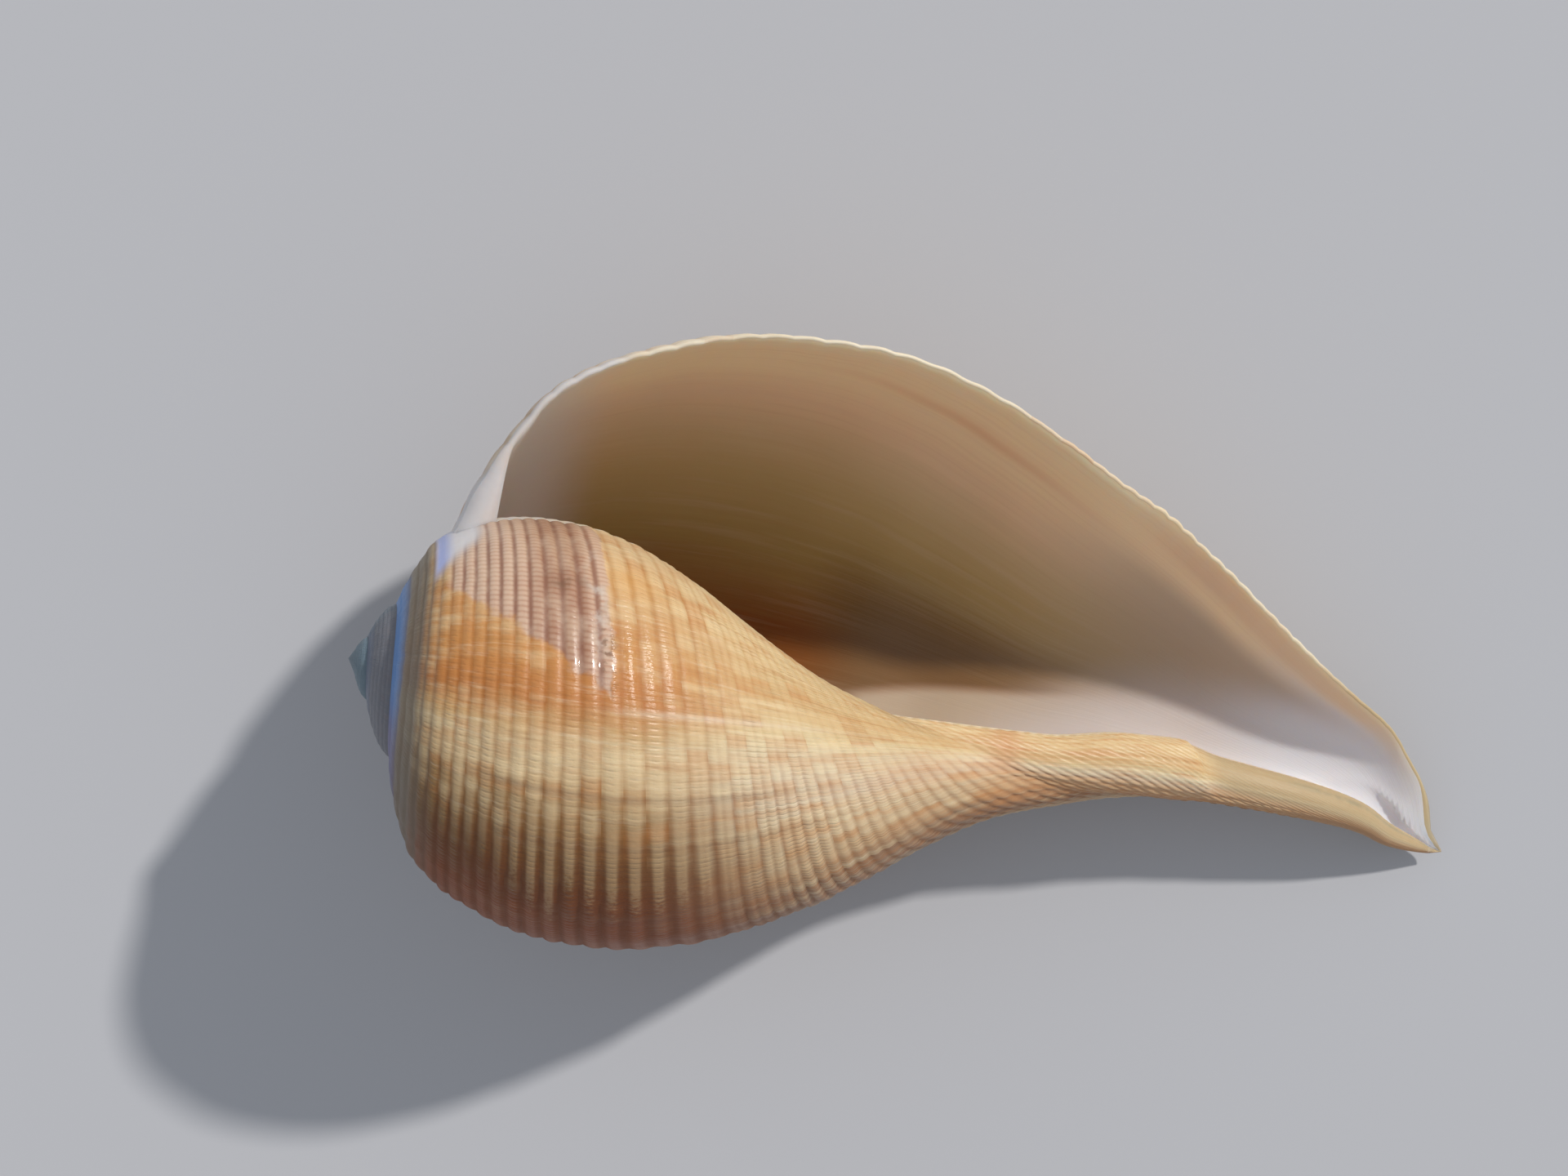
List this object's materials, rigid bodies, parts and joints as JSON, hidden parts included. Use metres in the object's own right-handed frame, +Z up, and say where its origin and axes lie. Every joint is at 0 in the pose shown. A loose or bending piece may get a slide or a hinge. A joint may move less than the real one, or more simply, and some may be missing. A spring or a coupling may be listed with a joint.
{
  "type": "fig shell",
  "caption": "Fig shell: thin pear-shaped spiral seashell with a low spire, a wide mouth and a long open canal, lying on its back.",
  "frame": {"origin": "on the surface the shell rests on, under the middle of its box", "axes": "+X from the spire towards the tip of the canal, +Y towards the outer lip, +Z up, out of the mouth"},
  "size_m": [0.0914, 0.0486, 0.0387],
  "materials": {
    "fig_shell_glaze": "glossy"
  },
  "bodies": {
    "root": {"fig_shell": "fig_shell_glaze"}
  },
  "joints": []
}
